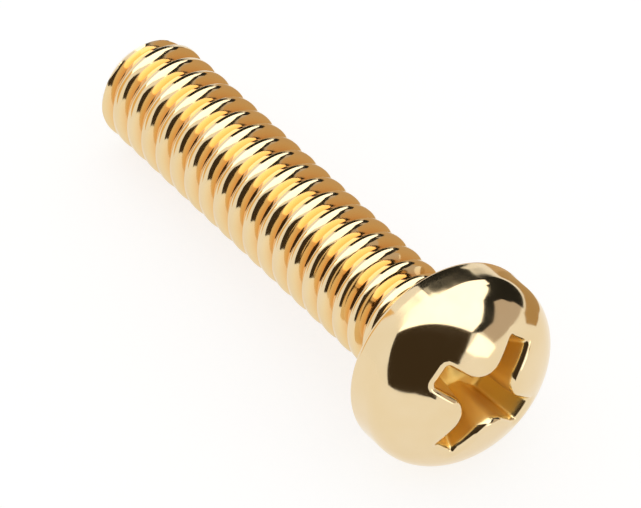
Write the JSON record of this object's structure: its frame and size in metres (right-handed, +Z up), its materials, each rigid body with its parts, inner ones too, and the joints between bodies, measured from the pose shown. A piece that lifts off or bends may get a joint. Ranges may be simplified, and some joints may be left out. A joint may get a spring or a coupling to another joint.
{
  "type": "pickup screw",
  "caption": "Gold-plated round-head machine screw with a cross recess and a threaded shank, lying on its side.",
  "frame": {"origin": "centre of the bearing face under the head", "axes": "+X from the head to the tip, level with the floor; +Z up, with the screw lying at rest on the rim of its head and the end of its shank, so its own axis points 5.2 degrees down towards the tip"},
  "size_m": [0.0186, 0.0064, 0.0064],
  "materials": {
    "gold_plate": "bright polished gold plating"
  },
  "bodies": {
    "root": {"screw": "gold_plate"}
  },
  "joints": []
}
